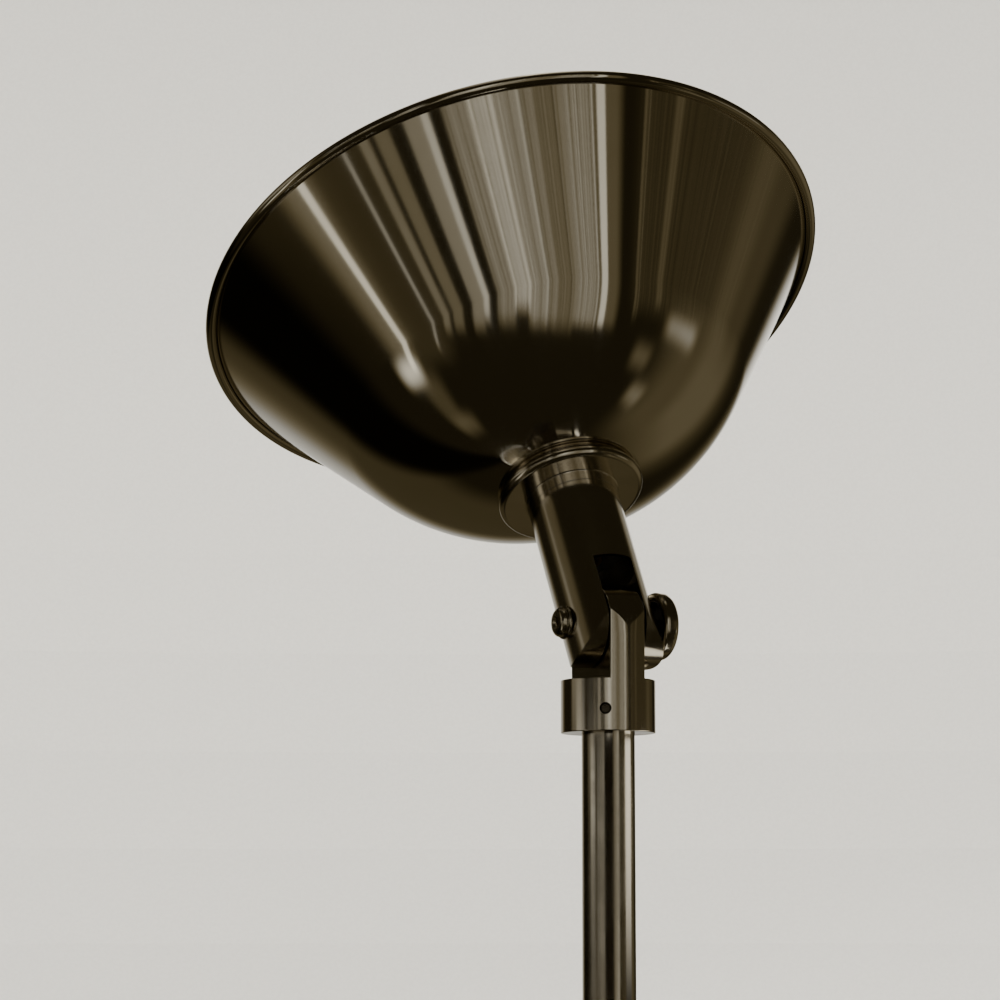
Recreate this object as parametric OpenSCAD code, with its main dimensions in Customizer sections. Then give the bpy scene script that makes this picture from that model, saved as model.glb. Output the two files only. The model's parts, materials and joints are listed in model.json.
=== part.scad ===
// Pharmacy floor lamp: a tilting spun-metal reflector on a telescopic pole and a weighted round base.
// The origin is the middle of the base's underside, +Z runs up the pole and the tilt pivot lies along X.

/* [Shade] */
// Outside radius of the shade over its rolled rim
shade_rim_r = 140; // [128:1:150]
// Half angle of the shade's conical wall
shade_wall_angle = 34.5; // [30:0.5:38]
// Radius at which the conical wall meets the rounded bowl
shade_knee_r = 89.5; // [84:0.5:95]
// Radius of the bowl's curve
shade_bowl_r = 105; // [100:1:110]
// Thickness of the spun sheet
shade_sheet = 1; // [0.8:0.1:1.5]
// Radius of the rolled rim's bead
shade_bead_r = 2.6; // [2:0.1:3]

/* [Head] */
// Lean of the head from upright, as it is set up
head_tilt = 30; // [0:1:40]
// Outside radius of the slotted head tube
tube_r = 19.75; // [19.5:0.25:20.5]
// Wall of the head tube
tube_wall = 1.5; // [1.4:0.1:1.5]
// Radius of the round ears at the head tube's lower end
ear_r = 18.5; // [17.5:0.25:20]
// How far the head tube reaches above the pivot
tube_above = 61.5; // [60:0.5:64]
// Width of the slots that clear the knuckle's tongue
slot_w = 17.5; // [17:0.1:18]
// Top of the front slot above the pivot
front_slot_top = 22.2; // [21:0.2:24]
// Top of the back slot above the pivot
back_slot_top = 11.5; // [11:0.5:12.5]
// Height above the pivot up to which the head tube's two cheeks are solid
cheek_top = 14; // [12:0.5:16]
// Radius of the shade fitter's lip
lip_r = 31.7; // [30:0.1:33]

/* [Knuckle] */
// Thickness of the tongue
tongue_t = 16; // [15:0.1:16.2]
// Height of the collar that grips the pole
collar_h = 22; // [21:0.5:26]
// Drop from the pivot to the top of the collar
collar_drop = 23.5; // [23.5:0.1:26]
// Radius of the pivot bolt's shank
bolt_r = 2.95; // [2.8:0.05:3]
// Radius of the tilt knob
knob_r = 14.3; // [13:0.1:15]

/* [Pole] */
// Height of the tilt pivot above the floor, as it is set up
pivot_h = 1400; // [1300:5:1500]
// Outside radius of the sliding pole
stem_r = 11.1; // [11.1:0.05:11.2]
// Wall of the sliding pole
stem_wall = 1.5; // [1.2:0.1:2]
// Outside radius of the fixed lower tube
lower_r = 14.3; // [14.3:0.05:14.4]
// Height of the lower tube's top end
lower_top = 757; // [730:1:780]
// Outside radius of the clamp collar
clamp_r = 18.5; // [18:0.5:20]
// Height of the sliding pole's bottom end, as it is set up
stem_bottom = 560; // [500:1:600]

/* [Base] */
// Outside radius of the base
base_r = 145; // [140:1:155]
// Height of the base's dome
base_h = 28; // [27:0.5:32]
// Height of the cover's straight edge
base_edge_h = 12; // [11:0.5:13]
// Radius of the cord that the gland takes
cord_r = 3.5; // [3:0.1:3.6]

/* [Hidden] */

$fn = 96;
arc_steps = 10;
eps = 0.5;

// Running clearance of every shaft in its hole, and the slack between faces that rub
fit_gap = 0.05;
face_gap = 0.1;
hole_slack = 0.15;

// Shade, in the head's own frame: the pivot is its origin and the head's axis is +Z
seat_z = tube_above + 11.5;
seat_r = 30;
bowl_c_r = shade_knee_r - shade_bowl_r * cos(shade_wall_angle);
bowl_c_z = seat_z + sqrt(pow(shade_bowl_r, 2) - pow(seat_r - bowl_c_r, 2));
seat_angle = -acos((seat_r - bowl_c_r) / shade_bowl_r);
knee_z = bowl_c_z - shade_bowl_r * sin(shade_wall_angle);
wall_top_r = shade_rim_r - shade_bead_r - 0.5;
wall_top_z = knee_z + (wall_top_r - shade_knee_r) / tan(shade_wall_angle);

// Lampholder and bulb (E27)
holder_r = 17.2;
skirt_r = 18.6;
skirt_z = tube_above + 4.5;
skirt_top = seat_z + 19;
skirt_hole_r = skirt_r + hole_slack;
holder_z = tube_above - 20.5;
holder_bore_r = 14.5;
holder_floor_z = holder_z + 9;
thread_shell_r = holder_bore_r - 0.1;
thread_shell_in = 13.7;
cap_r = 13.2;
cap_z = holder_floor_z + 8;
cap_top = cap_z + 26;
bulb_r = 30;
bulb_neck_r = 13.5;
bulb_len = 84;
glass_t = 0.8;
plate_t = 3;
nipple_r = 5;
nipple_bore = 3.6;

// Knuckle, as heights above the floor
collar_top = pivot_h - collar_drop;
collar_z = collar_top - collar_h;
tongue_round_drop = 3;
socket_depth = 20;
wire_hole_r = 3.2;
wire_hole_y = 8;
grub_r = 2.4;
grub_len = 7.6;
grub_key_af = 2.6;
grub_z = 9.2;
grub_angles = [0, 120, 240];
collar_grub_angles = [60, 240];

// Pivot stack along X
bolt_hole_r = bolt_r + fit_gap;
washer_r = 7;
washer_t = 1;
bolt_head_r = 6.2;
bolt_head_t = 3.2;
knob_x = tube_r + 0.45;
knob_t = 7;
spacer_r = 6;

// Pole
stem_in = stem_r - stem_wall;
stem_top = collar_z + socket_depth - 2.2;
lower_in = 12.3;
lower_z = base_h + 0.5;
bush_len = 40;
bush_lip = 4;
clip_t = 1.4;
clamp_h = 37;
clamp_z = lower_top - 22;
clamp_top = clamp_z + clamp_h;
clamp_screw_z = clamp_top - 8;
clamp_screw_r = 3;
clamp_pad_len = 1.6;
thumb_r = 9;
thumb_x = clamp_r + 4;
thumb_len = 11;
flutes = 16;

// Base
cover_t = 1.2;
cover_fillet = 6;
foot_h = 3;
foot_r = base_r - 6;
foot_w = 16;
foot_seat = 1.5;
weight_r = base_r - 8;
base_rod_r = 6;
base_rod_bore = 4;
rod_hole_r = base_rod_r + 0.3;
nut_af = 19;
nut_h = 6;
pocket_r = 21;
pocket_top = foot_h + 10;
plug_h = 26;
boss_r = 24;
gland_z = 9.3;
gland_r = 5;
gland_bore = cord_r + 0.25;
gland_out = 3;
gland_in = 9;

// Points of a circular arc round c, from angle a0 to angle a1
function arc(c, r, a0, a1, n = arc_steps) =
    [for (i = [0:n]) c + r * [cos(a0 + (a1 - a0) * i / n), sin(a0 + (a1 - a0) * i / n)]];

module turned(points) {
    rotate_extrude() polygon(points);
}

// A round tube or ring between two heights
module ring(r_out, r_in, z0, z1) {
    translate([0, 0, z0]) difference() {
        cylinder(r = r_out, h = z1 - z0);
        translate([0, 0, -eps]) cylinder(r = r_in, h = z1 - z0 + 2 * eps);
    }
}

// A hexagonal nut between two heights
module hex_nut(af, r_in, z0, z1) {
    translate([0, 0, z0]) difference() {
        cylinder(d = af / cos(30), h = z1 - z0, $fn = 6);
        translate([0, 0, -eps]) cylinder(r = r_in, h = z1 - z0 + 2 * eps);
    }
}

module head_frame() {
    translate([0, 0, pivot_h]) rotate([-head_tilt, 0, 0]) children();
}

// Turns a shape made along +Z to lie along +X at the pivot
module along_pivot() {
    translate([0, 0, pivot_h]) rotate([0, 90, 0]) children();
}

// A screw with a hexagon socket that points outwards from radius r
module grub(r) {
    rotate([0, 90, 0]) translate([0, 0, r]) difference() {
        cylinder(r = grub_r, h = grub_len);
        translate([0, 0, grub_len - 3]) cylinder(d = grub_key_af / cos(30), h = 3 + eps, $fn = 6);
    }
}

module grub_hole() {
    rotate([0, 90, 0]) cylinder(r = grub_r + fit_gap, h = 2 * tube_r);
}

// ---- Shade and head ----

module shade() {
    bowl_end = -shade_wall_angle;
    outer = concat(
        arc([bowl_c_r, bowl_c_z], shade_bowl_r, seat_angle, bowl_end, 24),
        [[wall_top_r, wall_top_z]]
    );
    inner = concat(
        [[wall_top_r - shade_sheet / cos(shade_wall_angle), wall_top_z]],
        arc([bowl_c_r, bowl_c_z], shade_bowl_r - shade_sheet, bowl_end, seat_angle, 24)
    );
    bottom = [[skirt_r + 0.6, seat_z + shade_sheet], [skirt_r + 0.6, seat_z]];
    color("silver") head_frame() union() {
        turned(concat(outer, inner, bottom));
        rotate_extrude() translate([shade_rim_r - shade_bead_r, wall_top_z - 1]) {
            circle(r = shade_bead_r, $fn = 32);
        }
    }
}

module shade_ring() {
    z0 = seat_z + shade_sheet + face_gap;
    color("silver") head_frame() turned([
        [skirt_hole_r, z0], [28, z0], [29, z0 + 1], [29, z0 + 3], [28, z0 + 4],
        [23.5, z0 + 4], [22.5, z0 + 5], [22.5, z0 + 9], [21.7, z0 + 9.8], [skirt_hole_r, z0 + 9.8]
    ]);
}

module fitter_flange() {
    neck_r = tube_r + 0.35;
    under_z = tube_above + 4.8;
    fillet = 2;
    bead_r = 2.7;
    color("silver") head_frame() turned(concat(
        [[neck_r, tube_above + 0.1]],
        arc([neck_r + fillet, under_z - fillet], fillet, 180, 90, 6),
        arc([lip_r - bead_r, under_z + bead_r], bead_r, -90, 90, 14),
        [
            [seat_r - 1.5, seat_z - 0.8], [seat_r - 1.5, seat_z - face_gap], [skirt_hole_r, seat_z - face_gap],
            [skirt_hole_r, skirt_z - face_gap], [holder_r + 0.3, skirt_z - face_gap],
            [holder_r + 0.3, tube_above - 7.5], [tube_r - tube_wall - face_gap, tube_above - 7.5],
            [tube_r - tube_wall - face_gap, tube_above + 0.1]
        ]
    ));
}

// The slots open at the tube's foot, between two solid cheeks that end in round ears
module head_tube() {
    wide = 2 * tube_r;
    foot_z = -ear_r - eps;
    slot_foot = foot_z - eps;
    bore_r = tube_r - tube_wall;
    color("silver") head_frame() intersection() {
        difference() {
            union() {
                ring(tube_r, bore_r, foot_z, tube_above);
                difference() {
                    translate([0, 0, foot_z]) cylinder(r = bore_r + eps, h = cheek_top - foot_z);
                    translate([-slot_w / 2, -wide, slot_foot])
                        cube([slot_w, 2 * wide, cheek_top + eps - slot_foot]);
                }
            }
            translate([-slot_w / 2, -wide, slot_foot]) cube([slot_w, wide, front_slot_top - slot_foot]);
            translate([-slot_w / 2, 0, slot_foot]) cube([slot_w, wide, back_slot_top - slot_foot]);
            translate([-wide, 0, 0]) rotate([0, 90, 0]) cylinder(r = bolt_hole_r, h = 2 * wide);
        }
        union() {
            translate([-wide, -wide, 0]) cube([2 * wide, 2 * wide, tube_above + eps]);
            translate([-wide, 0, 0]) rotate([0, 90, 0]) cylinder(r = ear_r, h = 2 * wide);
        }
    }
}

module holder_plate() {
    plate_r = tube_r - tube_wall - fit_gap;
    color("gray") head_frame() ring(plate_r, nipple_r + fit_gap, holder_z - plate_t, holder_z - face_gap);
}

module holder_nipple() {
    color("gold") head_frame() ring(nipple_r, nipple_bore, holder_z - plate_t - 6, holder_floor_z - 3);
}

module holder_nut() {
    top = holder_z - plate_t - face_gap;
    color("gray") head_frame() hex_nut(14, nipple_r + fit_gap, top - 4.4, top);
}

module lampholder_body() {
    color("white") head_frame() turned([
        [nipple_r + fit_gap, holder_z], [holder_r - 1, holder_z], [holder_r, holder_z + 1],
        [holder_r, skirt_z], [skirt_r, skirt_z], [skirt_r, skirt_top - 1], [skirt_r - 1, skirt_top],
        [holder_bore_r, skirt_top], [holder_bore_r, holder_floor_z], [nipple_r + fit_gap, holder_floor_z]
    ]);
}

module lampholder_thread() {
    z0 = holder_floor_z + 2;
    color("gold") head_frame() turned([
        [8, z0], [thread_shell_r, z0], [thread_shell_r, cap_top - 1],
        [thread_shell_in, cap_top - 1], [thread_shell_in, z0 + 0.8], [8, z0 + 0.8]
    ]);
}

module centre_contact() {
    color("gold") head_frame() union() {
        translate([-6.5, -2, holder_floor_z + 0.1]) cube([13, 4, 0.8]);
        translate([-2.5, -2, holder_floor_z + 0.1]) cube([5, 4, 5.4]);
    }
}

module bulb_cap() {
    color("silver") head_frame() turned([
        [0, holder_floor_z + 5.6], [3.5, holder_floor_z + 5.6], [4.5, holder_floor_z + 6.4], [9.5, cap_z],
        [cap_r, cap_z + 1.5], [cap_r, cap_top], [0, cap_top]
    ]);
}

module bulb_glass() {
    round_z = cap_top + bulb_len - bulb_r;
    neck_z = cap_top + face_gap;
    sweep = 50;
    join = [bulb_r * cos(sweep), round_z - bulb_r * sin(sweep)];
    inner_r = bulb_r - glass_t;
    inner_join = [inner_r * cos(sweep), round_z - inner_r * sin(sweep)];
    outer = concat(
        [[bulb_neck_r, neck_z], [bulb_neck_r, neck_z + 8]],
        arc([0, round_z], bulb_r, -sweep, 90, 24)
    );
    inner = concat(
        arc([0, round_z], inner_r, 90, -sweep, 24),
        [[bulb_neck_r - glass_t, neck_z + 8.3], [bulb_neck_r - glass_t, neck_z]]
    );
    color("white", 0.4) head_frame() turned(concat(outer, inner));
}

module bulb_filament() {
    foot_z = cap_top + face_gap;
    post_z = foot_z + 24;
    wire_z = cap_top + bulb_len - bulb_r - 2;
    color("gray") head_frame() union() {
        turned([[0, foot_z], [8, foot_z], [4, foot_z + 6], [2.5, post_z], [0, post_z + 2]]);
        for (side = [-1, 1]) {
            translate([0, 0, post_z]) rotate([0, side * 22, 0]) {
                cylinder(r = 0.4, h = (wire_z - post_z) / cos(22));
            }
        }
        reach = (wire_z - post_z) * tan(22) + 0.4;
        translate([-reach, 0, wire_z - 0.4]) rotate([0, 90, 0]) cylinder(r = 0.9, h = 2 * reach);
    }
}

// ---- Tilt pivot ----

module pivot_bolt() {
    head_x = tube_r + washer_t + 0.2;
    knob_end = knob_x + knob_t - 1.2;
    color("silver") along_pivot() union() {
        translate([0, 0, -head_x - 1]) cylinder(r = bolt_r, h = head_x + 1 + knob_end);
        translate([0, 0, -head_x]) rotate([180, 0, 0]) turned(concat(
            [[0, 0], [bolt_head_r, 0]],
            arc([bolt_head_r - 2.2, bolt_head_t - 2.2], 2.2, 0, 80, 6),
            [[3, bolt_head_t], [2.2, bolt_head_t - 0.9], [0, bolt_head_t - 0.9]]
        ));
    }
}

module pivot_washer() {
    color("silver") along_pivot() ring(washer_r, bolt_hole_r, -tube_r - washer_t - 0.1, -tube_r - 0.05);
}

module friction_spacers() {
    color("black") along_pivot() for (side = [0, 180]) {
        rotate([side, 0, 0]) ring(spacer_r, bolt_hole_r, tongue_t / 2 + face_gap, slot_w / 2 - face_gap);
    }
}

module tilt_knob() {
    recess_r = knob_r - 3.8;
    recess_d = 4.3;
    rim = 2;
    edge = 3;
    color("silver") along_pivot() translate([0, 0, knob_x]) turned(concat(
        [[bolt_hole_r, recess_d], [recess_r - 2, recess_d - 0.6], [recess_r - 0.5, recess_d - 1.6]],
        arc([recess_r + 1, 1], 1, 180, 270, 4),
        arc([knob_r - rim, rim], rim, 270, 360, 6),
        arc([knob_r - edge, knob_t - edge], edge, 0, 75, 8),
        [[0, knob_t], [0, knob_t - 1], [bolt_hole_r, knob_t - 1]]
    ));
}

// ---- Knuckle and pole ----

module tongue() {
    root_z = collar_top - 1;
    round_z = pivot_h - tongue_round_drop;
    intersection() {
        translate([0, 0, root_z]) cylinder(r = tube_r, h = pivot_h - root_z + 2 * tube_r);
        union() {
            translate([-tongue_t / 2, -tube_r, root_z]) cube([tongue_t, 2 * tube_r, round_z - root_z]);
            translate([-tongue_t / 2, 0, round_z]) rotate([0, 90, 0]) cylinder(r = tube_r, h = tongue_t);
        }
    }
}

module knuckle() {
    edge = 0.4;
    color("silver") difference() {
        union() {
            turned([
                [0, collar_z], [tube_r - edge, collar_z], [tube_r, collar_z + edge],
                [tube_r, collar_top - edge], [tube_r - edge, collar_top], [0, collar_top]
            ]);
            tongue();
        }
        translate([0, 0, collar_z - eps]) cylinder(r = stem_r + fit_gap, h = socket_depth + eps);
        translate([0, wire_hole_y, collar_z]) cylinder(r = wire_hole_r, h = 3 * collar_h);
        translate([-2 * tongue_t, 0, pivot_h]) rotate([0, 90, 0]) cylinder(r = bolt_hole_r, h = 4 * tongue_t);
        translate([0, 0, collar_z + grub_z]) {
            for (a = grub_angles) rotate(a) grub_hole();
        }
    }
}

module set_screws() {
    color("gray") translate([0, 0, collar_z + grub_z]) {
        for (a = grub_angles) rotate(a) grub(stem_r + 0.1);
    }
}

module wire_bush() {
    flange_r = stem_r - 0.3;
    color("black") turned([
        [4, stem_top - 8], [stem_in - fit_gap, stem_top - 8], [stem_in - fit_gap, stem_top + 0.1],
        [flange_r, stem_top + 0.1], [flange_r, stem_top + 1.6], [4.8, stem_top + 1.6], [4, stem_top + 0.8]
    ]);
}

module upper_stem() {
    color("silver") difference() {
        ring(stem_r, stem_in, stem_bottom, stem_top);
        translate([0, 0, stem_bottom + bush_len]) ring(stem_r + 1, stem_r - 0.6, 0, clip_t + 0.2);
    }
}

module stem_clip() {
    groove_z = stem_bottom + bush_len;
    color("gray") ring(stem_r + 0.8, stem_r - 0.55, groove_z + 0.1, groove_z + clip_t);
}

module guide_bush() {
    z0 = stem_bottom - bush_lip;
    color("white") turned([
        [stem_in - 1, z0], [lower_in - 1, z0], [lower_in - fit_gap, z0 + 1],
        [lower_in - fit_gap, stem_bottom + bush_len - 0.1], [stem_r + fit_gap, stem_bottom + bush_len - 0.1],
        [stem_r + fit_gap, stem_bottom - face_gap], [stem_in - 1, stem_bottom - face_gap]
    ]);
}

module lower_tube() {
    color("silver") ring(lower_r, lower_in, lower_z, lower_top);
}

module clamp_collar() {
    edge = 1.2;
    color("silver") difference() {
        turned(concat(
            [[0, clamp_z], [clamp_r - edge, clamp_z], [clamp_r, clamp_z + edge]],
            arc([clamp_r - 3, clamp_top - 3], 3, 0, 90, 8),
            [[0, clamp_top]]
        ));
        translate([0, 0, clamp_z - eps]) cylinder(r = lower_r + fit_gap, h = lower_top - clamp_z + eps);
        translate([0, 0, clamp_z]) cylinder(r = stem_r + fit_gap, h = clamp_h + eps);
        translate([0, 0, clamp_screw_z]) rotate([0, 90, 0]) {
            cylinder(r = clamp_screw_r + fit_gap, h = 2 * clamp_r);
        }
        translate([0, 0, clamp_z + grub_z]) {
            for (a = collar_grub_angles) rotate(a) grub_hole();
        }
    }
}

module collar_screws() {
    length = clamp_r - lower_r - 0.6;
    color("gray") translate([0, 0, clamp_z + grub_z]) for (a = collar_grub_angles) {
        rotate(a) rotate([0, 90, 0]) translate([0, 0, lower_r + 0.1]) difference() {
            cylinder(r = grub_r, h = length);
            translate([0, 0, length - 1.8]) cylinder(d = grub_key_af / cos(30), h = 2, $fn = 6);
        }
    }
}

module clamp_screw() {
    tip_x = stem_r + fit_gap + clamp_pad_len + 0.1;
    color("silver") translate([0, 0, clamp_screw_z]) rotate([0, 90, 0]) union() {
        translate([0, 0, tip_x]) cylinder(r = clamp_screw_r, h = thumb_x - tip_x + 1);
        difference() {
            translate([0, 0, thumb_x]) turned(concat(
                [[0, 0], [5, 0], [5.5, 1.5], [thumb_r - 0.8, 3], [thumb_r, 3.8]],
                arc([thumb_r - 1.2, thumb_len - 1.2], 1.2, 0, 90, 5),
                [[0, thumb_len]]
            ));
            for (i = [1:flutes]) {
                rotate(i * 360 / flutes) translate([thumb_r + 0.6, 0, thumb_x + 2]) {
                    cylinder(r = 1.2, h = thumb_len, $fn = 16);
                }
            }
        }
    }
}

module clamp_pad() {
    color("gold") translate([stem_r + fit_gap, 0, clamp_screw_z]) {
        rotate([0, 90, 0]) cylinder(r = clamp_screw_r - 0.1, h = clamp_pad_len);
    }
}

module tube_plug() {
    color("gold") ring(lower_in - fit_gap, base_rod_r + fit_gap, lower_z, lower_z + plug_h);
}

// ---- Base ----

// Height of the cover's outside at radius r
function dome_z(r) =
    let (rise = base_h - base_edge_h - cover_fillet, run = base_r - cover_fillet)
    base_edge_h + cover_fillet + rise * (1 - pow(r / run, 2));

module base_flange() {
    z0 = base_h + 0.1;
    color("silver") turned(concat(
        [[lower_r + 0.2, z0], [27, z0], [27, z0 + 2]],
        [for (i = [0:arc_steps]) [
            18 + 7 * (1 - sin(90 * i / arc_steps)),
            z0 + 3 + 12 * (1 - cos(90 * i / arc_steps))
        ]],
        arc([lower_r + 2.4, z0 + 17], 1.3, -30, 100, 6),
        [[lower_r + 0.2, z0 + 18.3]]
    ));
}

module base_cover() {
    steps = 12;
    run = base_r - cover_fillet;
    radii = [for (i = [1:steps]) (run - 4) + (boss_r - run + 4) * i / steps];
    outer = concat(
        [[base_r, foot_seat]],
        arc([run, base_edge_h], cover_fillet, 0, 78, 8),
        [for (r = radii) [r, dome_z(r)]]
    );
    inner = concat(
        [for (i = [steps - 1:-1:0]) [radii[i], dome_z(radii[i]) - cover_t]],
        arc([run, base_edge_h], cover_fillet - cover_t, 78, 0, 8),
        [[base_r - cover_t, foot_seat]]
    );
    under = base_h - cover_t;
    top = [[boss_r - 1, base_h], [rod_hole_r, base_h], [rod_hole_r, under], [boss_r - 1, under]];
    color("silver") difference() {
        turned(concat(outer, top, inner));
        translate([0, run - 4, gland_z]) rotate([-90, 0, 0]) {
            cylinder(r = gland_r + fit_gap, h = 4 * cover_fillet);
        }
    }
}

module base_weight() {
    edge = 2;
    under = cover_t + 0.4;
    color("dimgray") difference() {
        turned([
            [0, foot_seat + 0.5], [weight_r - edge, foot_seat + 0.5], [weight_r, foot_seat + 0.5 + edge],
            [weight_r, base_edge_h], [weight_r - edge, base_edge_h + edge],
            [weight_r / 2, dome_z(weight_r / 2) - under - 0.4], [boss_r, dome_z(boss_r) - under - 0.2],
            [boss_r - 2, base_h - cover_t - 0.1], [0, base_h - cover_t - 0.1]
        ]);
        translate([0, 0, -eps]) cylinder(r = rod_hole_r, h = 2 * base_h);
        translate([0, 0, -eps]) cylinder(r = pocket_r, h = pocket_top + eps);
        translate([-gland_r - 1, pocket_r - 4, -eps]) {
            cube([2 * gland_r + 2, base_r, gland_z + gland_r + 1 + eps]);
        }
        ring(foot_r + 1, foot_r - foot_w - 0.2, -eps, foot_h + 0.1);
    }
}

module base_nipple() {
    color("gray") ring(base_rod_r, base_rod_bore, foot_h + 1.5, lower_z + plug_h - 3);
}

module base_washer() {
    color("gray") ring(17.5, rod_hole_r, pocket_top - 2.2, pocket_top - face_gap);
}

module base_nut() {
    color("gray") hex_nut(nut_af, base_rod_r + fit_gap, pocket_top - 2.3 - nut_h, pocket_top - 2.3);
}

module foot_ring() {
    edge = 0.8;
    color("black") turned([
        [foot_r - foot_w, edge], [foot_r - foot_w + edge, 0], [foot_r - edge, 0], [foot_r, edge],
        [foot_r, foot_seat - 0.1], [foot_r - 1, foot_h], [foot_r - foot_w, foot_h]
    ]);
}

module cord_gland() {
    lip = 1.4;
    color("black") translate([0, base_r, gland_z]) rotate([-90, 0, 0]) turned([
        [gland_bore, -gland_in], [gland_r, -gland_in], [gland_r, 0.2], [gland_r + lip, 0.2],
        [gland_r + lip, 1.2], [gland_r, gland_out], [gland_bore, gland_out]
    ]);
}

shade();
shade_ring();
fitter_flange();
head_tube();
holder_plate();
holder_nipple();
holder_nut();
lampholder_body();
lampholder_thread();
centre_contact();
bulb_cap();
bulb_glass();
bulb_filament();
pivot_bolt();
pivot_washer();
friction_spacers();
tilt_knob();
knuckle();
set_screws();
wire_bush();
upper_stem();
stem_clip();
guide_bush();
lower_tube();
clamp_collar();
collar_screws();
clamp_screw();
clamp_pad();
tube_plug();
base_flange();
base_cover();
base_weight();
base_nipple();
base_washer();
base_nut();
foot_ring();
cord_gland();
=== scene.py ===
"""Looks of the pharmacy floor lamp: studio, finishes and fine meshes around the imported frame."""
import json
import math

import bmesh
import bpy
from mathutils import Matrix, Vector

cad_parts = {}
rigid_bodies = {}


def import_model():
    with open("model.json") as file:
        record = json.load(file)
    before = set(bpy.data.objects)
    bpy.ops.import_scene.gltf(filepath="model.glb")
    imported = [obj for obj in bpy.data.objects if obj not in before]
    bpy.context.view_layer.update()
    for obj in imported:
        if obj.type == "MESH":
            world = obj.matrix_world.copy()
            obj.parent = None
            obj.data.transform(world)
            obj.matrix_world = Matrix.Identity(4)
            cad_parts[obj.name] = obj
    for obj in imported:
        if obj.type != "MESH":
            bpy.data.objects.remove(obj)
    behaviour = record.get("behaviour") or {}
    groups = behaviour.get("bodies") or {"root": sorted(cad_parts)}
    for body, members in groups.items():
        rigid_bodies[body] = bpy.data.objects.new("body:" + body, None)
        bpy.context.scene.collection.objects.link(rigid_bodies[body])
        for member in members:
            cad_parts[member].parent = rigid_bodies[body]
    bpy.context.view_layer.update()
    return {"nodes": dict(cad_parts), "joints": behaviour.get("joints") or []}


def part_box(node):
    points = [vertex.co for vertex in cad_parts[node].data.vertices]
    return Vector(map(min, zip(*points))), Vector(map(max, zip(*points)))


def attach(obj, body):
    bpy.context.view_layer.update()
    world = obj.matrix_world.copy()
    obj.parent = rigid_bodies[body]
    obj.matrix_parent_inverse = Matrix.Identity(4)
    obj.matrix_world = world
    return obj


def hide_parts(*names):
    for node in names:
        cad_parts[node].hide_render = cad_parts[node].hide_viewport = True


for item in list(bpy.data.objects):
    bpy.data.objects.remove(item)
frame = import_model()

MM = 0.001
JOINTS = {joint["name"]: joint for joint in frame["joints"]}
PIVOT = Vector(JOINTS["head_tilt"]["pos_m"])
HEAD_LEAN = math.radians(30)

# Frames that the pieces are made in: the shade's axis, the pivot bolt's axis and the pole's axis
HEAD = Matrix.Translation(PIVOT) @ Matrix.Rotation(-HEAD_LEAN, 4, "X")
BOLT = Matrix.Translation(PIVOT) @ Matrix.Rotation(math.pi / 2, 4, "Y")
POLE = Matrix.Identity(4)


# ---- Camera ----

CAMERA_AZIMUTH = math.radians(-25)
CAMERA_PITCH = math.radians(7.77)
CAMERA_LENS = 115.2
CAMERA_SENSOR = 36
CAMERA_REACH = 60
# Where the pivot lies from the camera: ahead, and right and down of the picture's middle
PIVOT_DEPTH = 1.337
PIVOT_RIGHT = 0.045
PIVOT_DOWN = 0.052


def add_camera():
    """A long lens a little below the shade, which looks up at it from the front left."""
    sin_a, cos_a = math.sin(CAMERA_AZIMUTH), math.cos(CAMERA_AZIMUTH)
    level, rise = math.cos(CAMERA_PITCH), math.sin(CAMERA_PITCH)
    look = Vector((-sin_a * level, cos_a * level, rise))
    right = Vector((cos_a, sin_a, 0))
    up = right.cross(look)
    data = bpy.data.cameras.new("camera")
    data.lens = CAMERA_LENS
    data.sensor_width = CAMERA_SENSOR
    data.clip_end = CAMERA_REACH
    camera = bpy.data.objects.new("camera", data)
    bpy.context.collection.objects.link(camera)
    place = PIVOT - look * PIVOT_DEPTH - right * PIVOT_RIGHT + up * PIVOT_DOWN
    turn = Matrix((right, up, -look)).transposed().to_4x4()
    camera.matrix_world = Matrix.Translation(place) @ turn
    bpy.context.scene.camera = camera


# ---- Shader helpers ----

class Shader:
    """Builds one node tree: every call adds a node and gives back its output."""

    def __init__(self, tree):
        self.tree = tree
        tree.nodes.clear()

    def feed(self, socket, value):
        if isinstance(value, bpy.types.NodeSocket):
            self.tree.links.new(value, socket)
        elif value is not None:
            socket.default_value = value

    def add(self, kind, inputs=(), out=0, **settings):
        node = self.tree.nodes.new("ShaderNode" + kind)
        for key, value in settings.items():
            setattr(node, key, value)
        if isinstance(inputs, dict):
            for key, value in inputs.items():
                self.feed(node.inputs[key], value)
        else:
            for socket, value in zip(node.inputs, inputs):
                self.feed(socket, value)
        return node.outputs[out] if len(node.outputs) else None

    def math(self, operation, *values):
        return self.add("Math", values, operation=operation)

    def blend(self, factor, a, b):
        return self.add("Mix", {"Factor": factor, 6: a, 7: b}, out=2, data_type="RGBA")

    def between(self, value, low, high, to_low=0.0, to_high=1.0):
        """Smooth step of value from low to high, onto to_low..to_high."""
        inputs = (value, low, high, to_low, to_high)
        return self.add("MapRange", inputs, interpolation_type="SMOOTHSTEP")

    def noise(self, where, scale, detail=3.0, roughness=0.55, distortion=0.0):
        inputs = {"Vector": where, "Scale": scale, "Detail": detail, "Roughness": roughness,
                  "Distortion": distortion}
        return self.add("TexNoise", inputs)

    def stretched(self, where, scale):
        return self.add("Mapping", {"Vector": where, "Scale": scale})


def new_material(name):
    """An empty material, its node tree's builder, and the object's own coordinates in it."""
    material = bpy.data.materials.new(name)
    material.use_nodes = True
    s = Shader(material.node_tree)
    return material, s, s.add("TexCoord", out="Object")


# ---- Studio ----

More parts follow.
